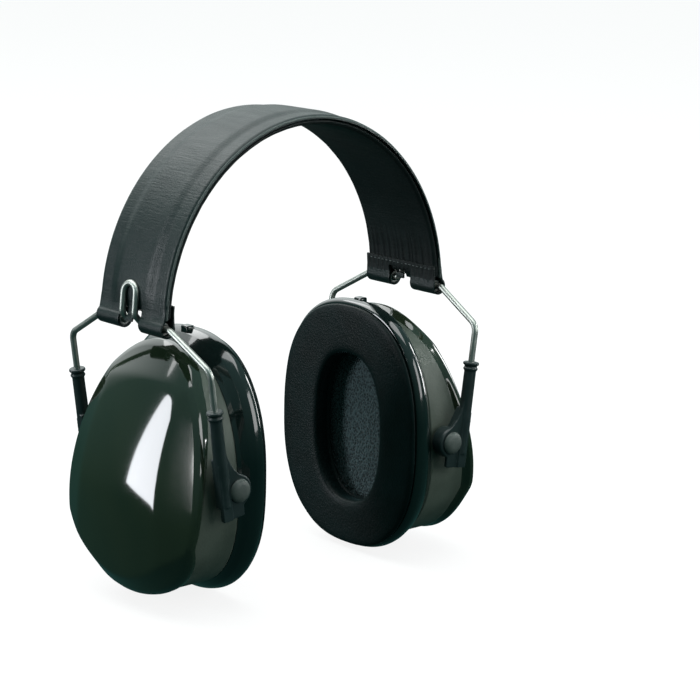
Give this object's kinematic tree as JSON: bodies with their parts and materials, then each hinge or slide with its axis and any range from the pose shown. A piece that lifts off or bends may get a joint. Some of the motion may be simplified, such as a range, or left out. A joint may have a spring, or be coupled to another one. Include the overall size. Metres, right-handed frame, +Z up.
{
  "type": "earmuff hearing protector",
  "caption": "Folding over-the-head earmuff: sprung padded headband, wire yokes with sliding arms, and pivoting ear cups with soft cushions and foam liners.",
  "frame": {"origin": "middle of the headband's inner face at the crown, where the band rests on the head", "axes": "+Z up, +X towards the right cup, -Y towards the front"},
  "size_m": [0.1592, 0.0936, 0.1821],
  "materials": {
    "leatherette": "grained leatherette, satin",
    "lining": "matte leatherette",
    "spring_steel": "plain",
    "foam": "open-cell foam",
    "wire": "bright drawn stainless wire",
    "arm": "satin",
    "pin": "satin",
    "shell": "high gloss",
    "rim": "high gloss",
    "plate": "matte",
    "cushion": "grained vinyl"
  },
  "bodies": {
    "headband": {"band_cover": "leatherette", "band_spring": "spring_steel", "band_padding": "foam", "band_lining": "lining"},
    "left_yoke": {"left_wire_yoke": "wire"},
    "left_arms": {"left_front_arm": "arm", "left_rear_arm": "arm"},
    "left_pins": {"left_front_pivot_pin": "pin", "left_rear_pivot_pin": "pin"},
    "left_cup": {"left_cup_shell": "shell", "left_cup_rim": "rim", "left_foam_liner": "foam", "left_cushion_plate": "plate", "left_cushion": "cushion"},
    "right_yoke": {"right_wire_yoke": "wire"},
    "right_arms": {"right_front_arm": "arm", "right_rear_arm": "arm"},
    "right_pins": {"right_front_pivot_pin": "pin", "right_rear_pivot_pin": "pin"},
    "right_cup": {"right_cup_shell": "shell", "right_cup_rim": "rim", "right_foam_liner": "foam", "right_cushion_plate": "plate", "right_cushion": "cushion"}
  },
  "joints": [
    {"name": "left_fold", "type": "hinge", "parent": "headband", "child": "left_yoke", "pos_m": [-0.0682, 0, -0.07023], "axis": [0, -1, 0], "range_deg": [0, 90]},
    {"name": "left_slide", "type": "slide", "parent": "left_yoke", "child": "left_arms", "axis": [-0.134, 0, 0.991], "range_m": [-0.018, 0.0075]},
    {"name": "left_levelling", "type": "hinge", "parent": "left_arms", "child": "left_pins", "pos_m": [-0.05394, 0, -0.12794], "axis": [0, -1, 0], "range_deg": [-90, 0]},
    {"name": "left_swivel", "type": "hinge", "parent": "left_pins", "child": "left_cup", "pos_m": [-0.05394, 0, -0.12794], "axis": [0, 1, 0], "range_deg": [-6, 6]},
    {"name": "right_fold", "type": "hinge", "parent": "headband", "child": "right_yoke", "pos_m": [0.0682, 0, -0.07023], "axis": [0, 1, 0], "range_deg": [0, 90]},
    {"name": "right_slide", "type": "slide", "parent": "right_yoke", "child": "right_arms", "axis": [0.134, 0, 0.991], "range_m": [-0.018, 0.0075]},
    {"name": "right_levelling", "type": "hinge", "parent": "right_arms", "child": "right_pins", "pos_m": [0.05394, 0, -0.12794], "axis": [0, 1, 0], "range_deg": [-90, 0]},
    {"name": "right_swivel", "type": "hinge", "parent": "right_pins", "child": "right_cup", "pos_m": [0.05394, 0, -0.12794], "axis": [0, 1, 0], "range_deg": [-6, 6]}
  ],
  "couplings": [
    {"joint": "left_levelling", "follows": "left_fold", "ratio": -1},
    {"joint": "right_levelling", "follows": "right_fold", "ratio": -1}
  ]
}
